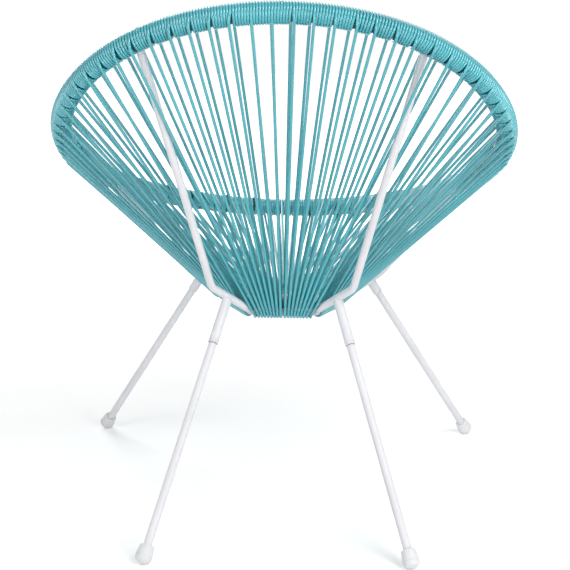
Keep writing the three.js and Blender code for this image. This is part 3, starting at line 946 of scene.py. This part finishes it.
def floor_glow(tree):
    """A glow that makes up for the light that falls off away from the chair."""
    glow = tree.nodes.new("ShaderNodeEmission")
    glow.inputs["Color"].default_value = WHITE
    place = tree.nodes.new("ShaderNodeTexCoord")
    away = tree.nodes.new("ShaderNodeVectorMath")
    away.operation = "LENGTH"
    tree.links.new(place.outputs["Object"], away.inputs[0])
    rise = tree.nodes.new("ShaderNodeMapRange")
    rise.interpolation_type = "SMOOTHSTEP"
    rise.inputs["From Min"].default_value = NEAR_M
    rise.inputs["From Max"].default_value = FAR_M
    rise.inputs["To Min"].default_value = GLOW_NEAR
    rise.inputs["To Max"].default_value = GLOW_FAR
    tree.links.new(away.outputs["Value"], rise.inputs["Value"])
    tree.links.new(rise.outputs["Result"], glow.inputs["Strength"])
    return glow.outputs["Emission"]


def floor_material():
    """White ground that takes the chair's shadow and glows only where it is seen."""
    mat, tree, bsdf = new_material("floor_white")
    coloured(tree, bsdf, noise(tree, *FLOOR_NOISE), *FLOOR_COLOURS)
    bsdf.inputs["Roughness"].default_value = FLOOR_ROUGHNESS
    bsdf.inputs["Specular IOR Level"].default_value = 0.0
    both = tree.nodes.new("ShaderNodeAddShader")
    seen = tree.nodes.new("ShaderNodeMixShader")
    out = tree.nodes["Material Output"]
    tree.links.new(bsdf.outputs["BSDF"], both.inputs[0])
    tree.links.new(floor_glow(tree), both.inputs[1])
    tree.links.new(camera_rays(tree), seen.inputs["Fac"])
    tree.links.new(bsdf.outputs["BSDF"], seen.inputs[1])
    tree.links.new(both.outputs["Shader"], seen.inputs[2])
    tree.links.new(seen.outputs["Shader"], out.inputs["Surface"])
    return mat


floor_corners = ((-1, -1), (1, -1), (1, 1), (-1, 1))
floor_verts = [(x * FLOOR_HALF, y * FLOOR_HALF, 0) for x, y in floor_corners]
floor = make_mesh("floor", floor_verts, [(0, 1, 2, 3)], smooth=False)
floor.data.materials.append(floor_material())

world = bpy.data.worlds.new("studio")
bpy.context.scene.world = world
world.use_nodes = True
sky_tree = world.node_tree
background = sky_tree.nodes["Background"]
background.inputs["Color"].default_value = WHITE
background.inputs["Strength"].default_value = AMBIENT
white = sky_tree.nodes.new("ShaderNodeBackground")
white.inputs["Color"].default_value = WHITE
white.inputs["Strength"].default_value = 1.0
sky = sky_tree.nodes.new("ShaderNodeMixShader")
sky_tree.links.new(camera_rays(sky_tree), sky.inputs["Fac"])
sky_tree.links.new(background.outputs["Background"], sky.inputs[1])
sky_tree.links.new(white.outputs["Background"], sky.inputs[2])
sky_tree.links.new(sky.outputs["Shader"], sky_tree.nodes["World Output"].inputs["Surface"])

for name, (at, aim, size, watts) in LAMPS.items():
    lamp_data = bpy.data.lights.new(name, "AREA")
    lamp_data.shape = "RECTANGLE"
    lamp_data.size, lamp_data.size_y = size
    lamp_data.energy = watts
    lamp = bpy.data.objects.new(name, lamp_data)
    bpy.context.scene.collection.objects.link(lamp)
    lamp.location = at
    lamp.rotation_mode = "QUATERNION"
    lamp.rotation_quaternion = (Vector(aim) - Vector(at)).to_track_quat("-Z", "Y")

forward = vec(
    math.sin(CAMERA_YAW) * math.cos(CAMERA_PITCH),
    -math.cos(CAMERA_YAW) * math.cos(CAMERA_PITCH),
    -math.sin(CAMERA_PITCH),
)
right = unit(np.cross(forward, vec(0, 0, 1)))
up = np.cross(right, forward)
right, up = (
    right * math.cos(CAMERA_ROLL) + up * math.sin(CAMERA_ROLL),
    up * math.cos(CAMERA_ROLL) - right * math.sin(CAMERA_ROLL),
)
camera_data = bpy.data.cameras.new("camera")
camera_data.sensor_width = SENSOR_WIDTH
camera_data.lens = SENSOR_WIDTH * FOCAL_PIXELS / PICTURE_PIXELS
camera_data.clip_start, camera_data.clip_end = CLIP_START_M, CLIP_END_M
camera = bpy.data.objects.new("camera", camera_data)
bpy.context.scene.collection.objects.link(camera)
axes = Matrix([list(right), list(up), list(-forward)]).transposed().to_4x4()
camera.matrix_world = Matrix.Translation(Vector(CAMERA_AT * MM)) @ axes
bpy.context.scene.camera = camera

bpy.context.scene.view_settings.view_transform = "Standard"

bpy.context.view_layer.update()
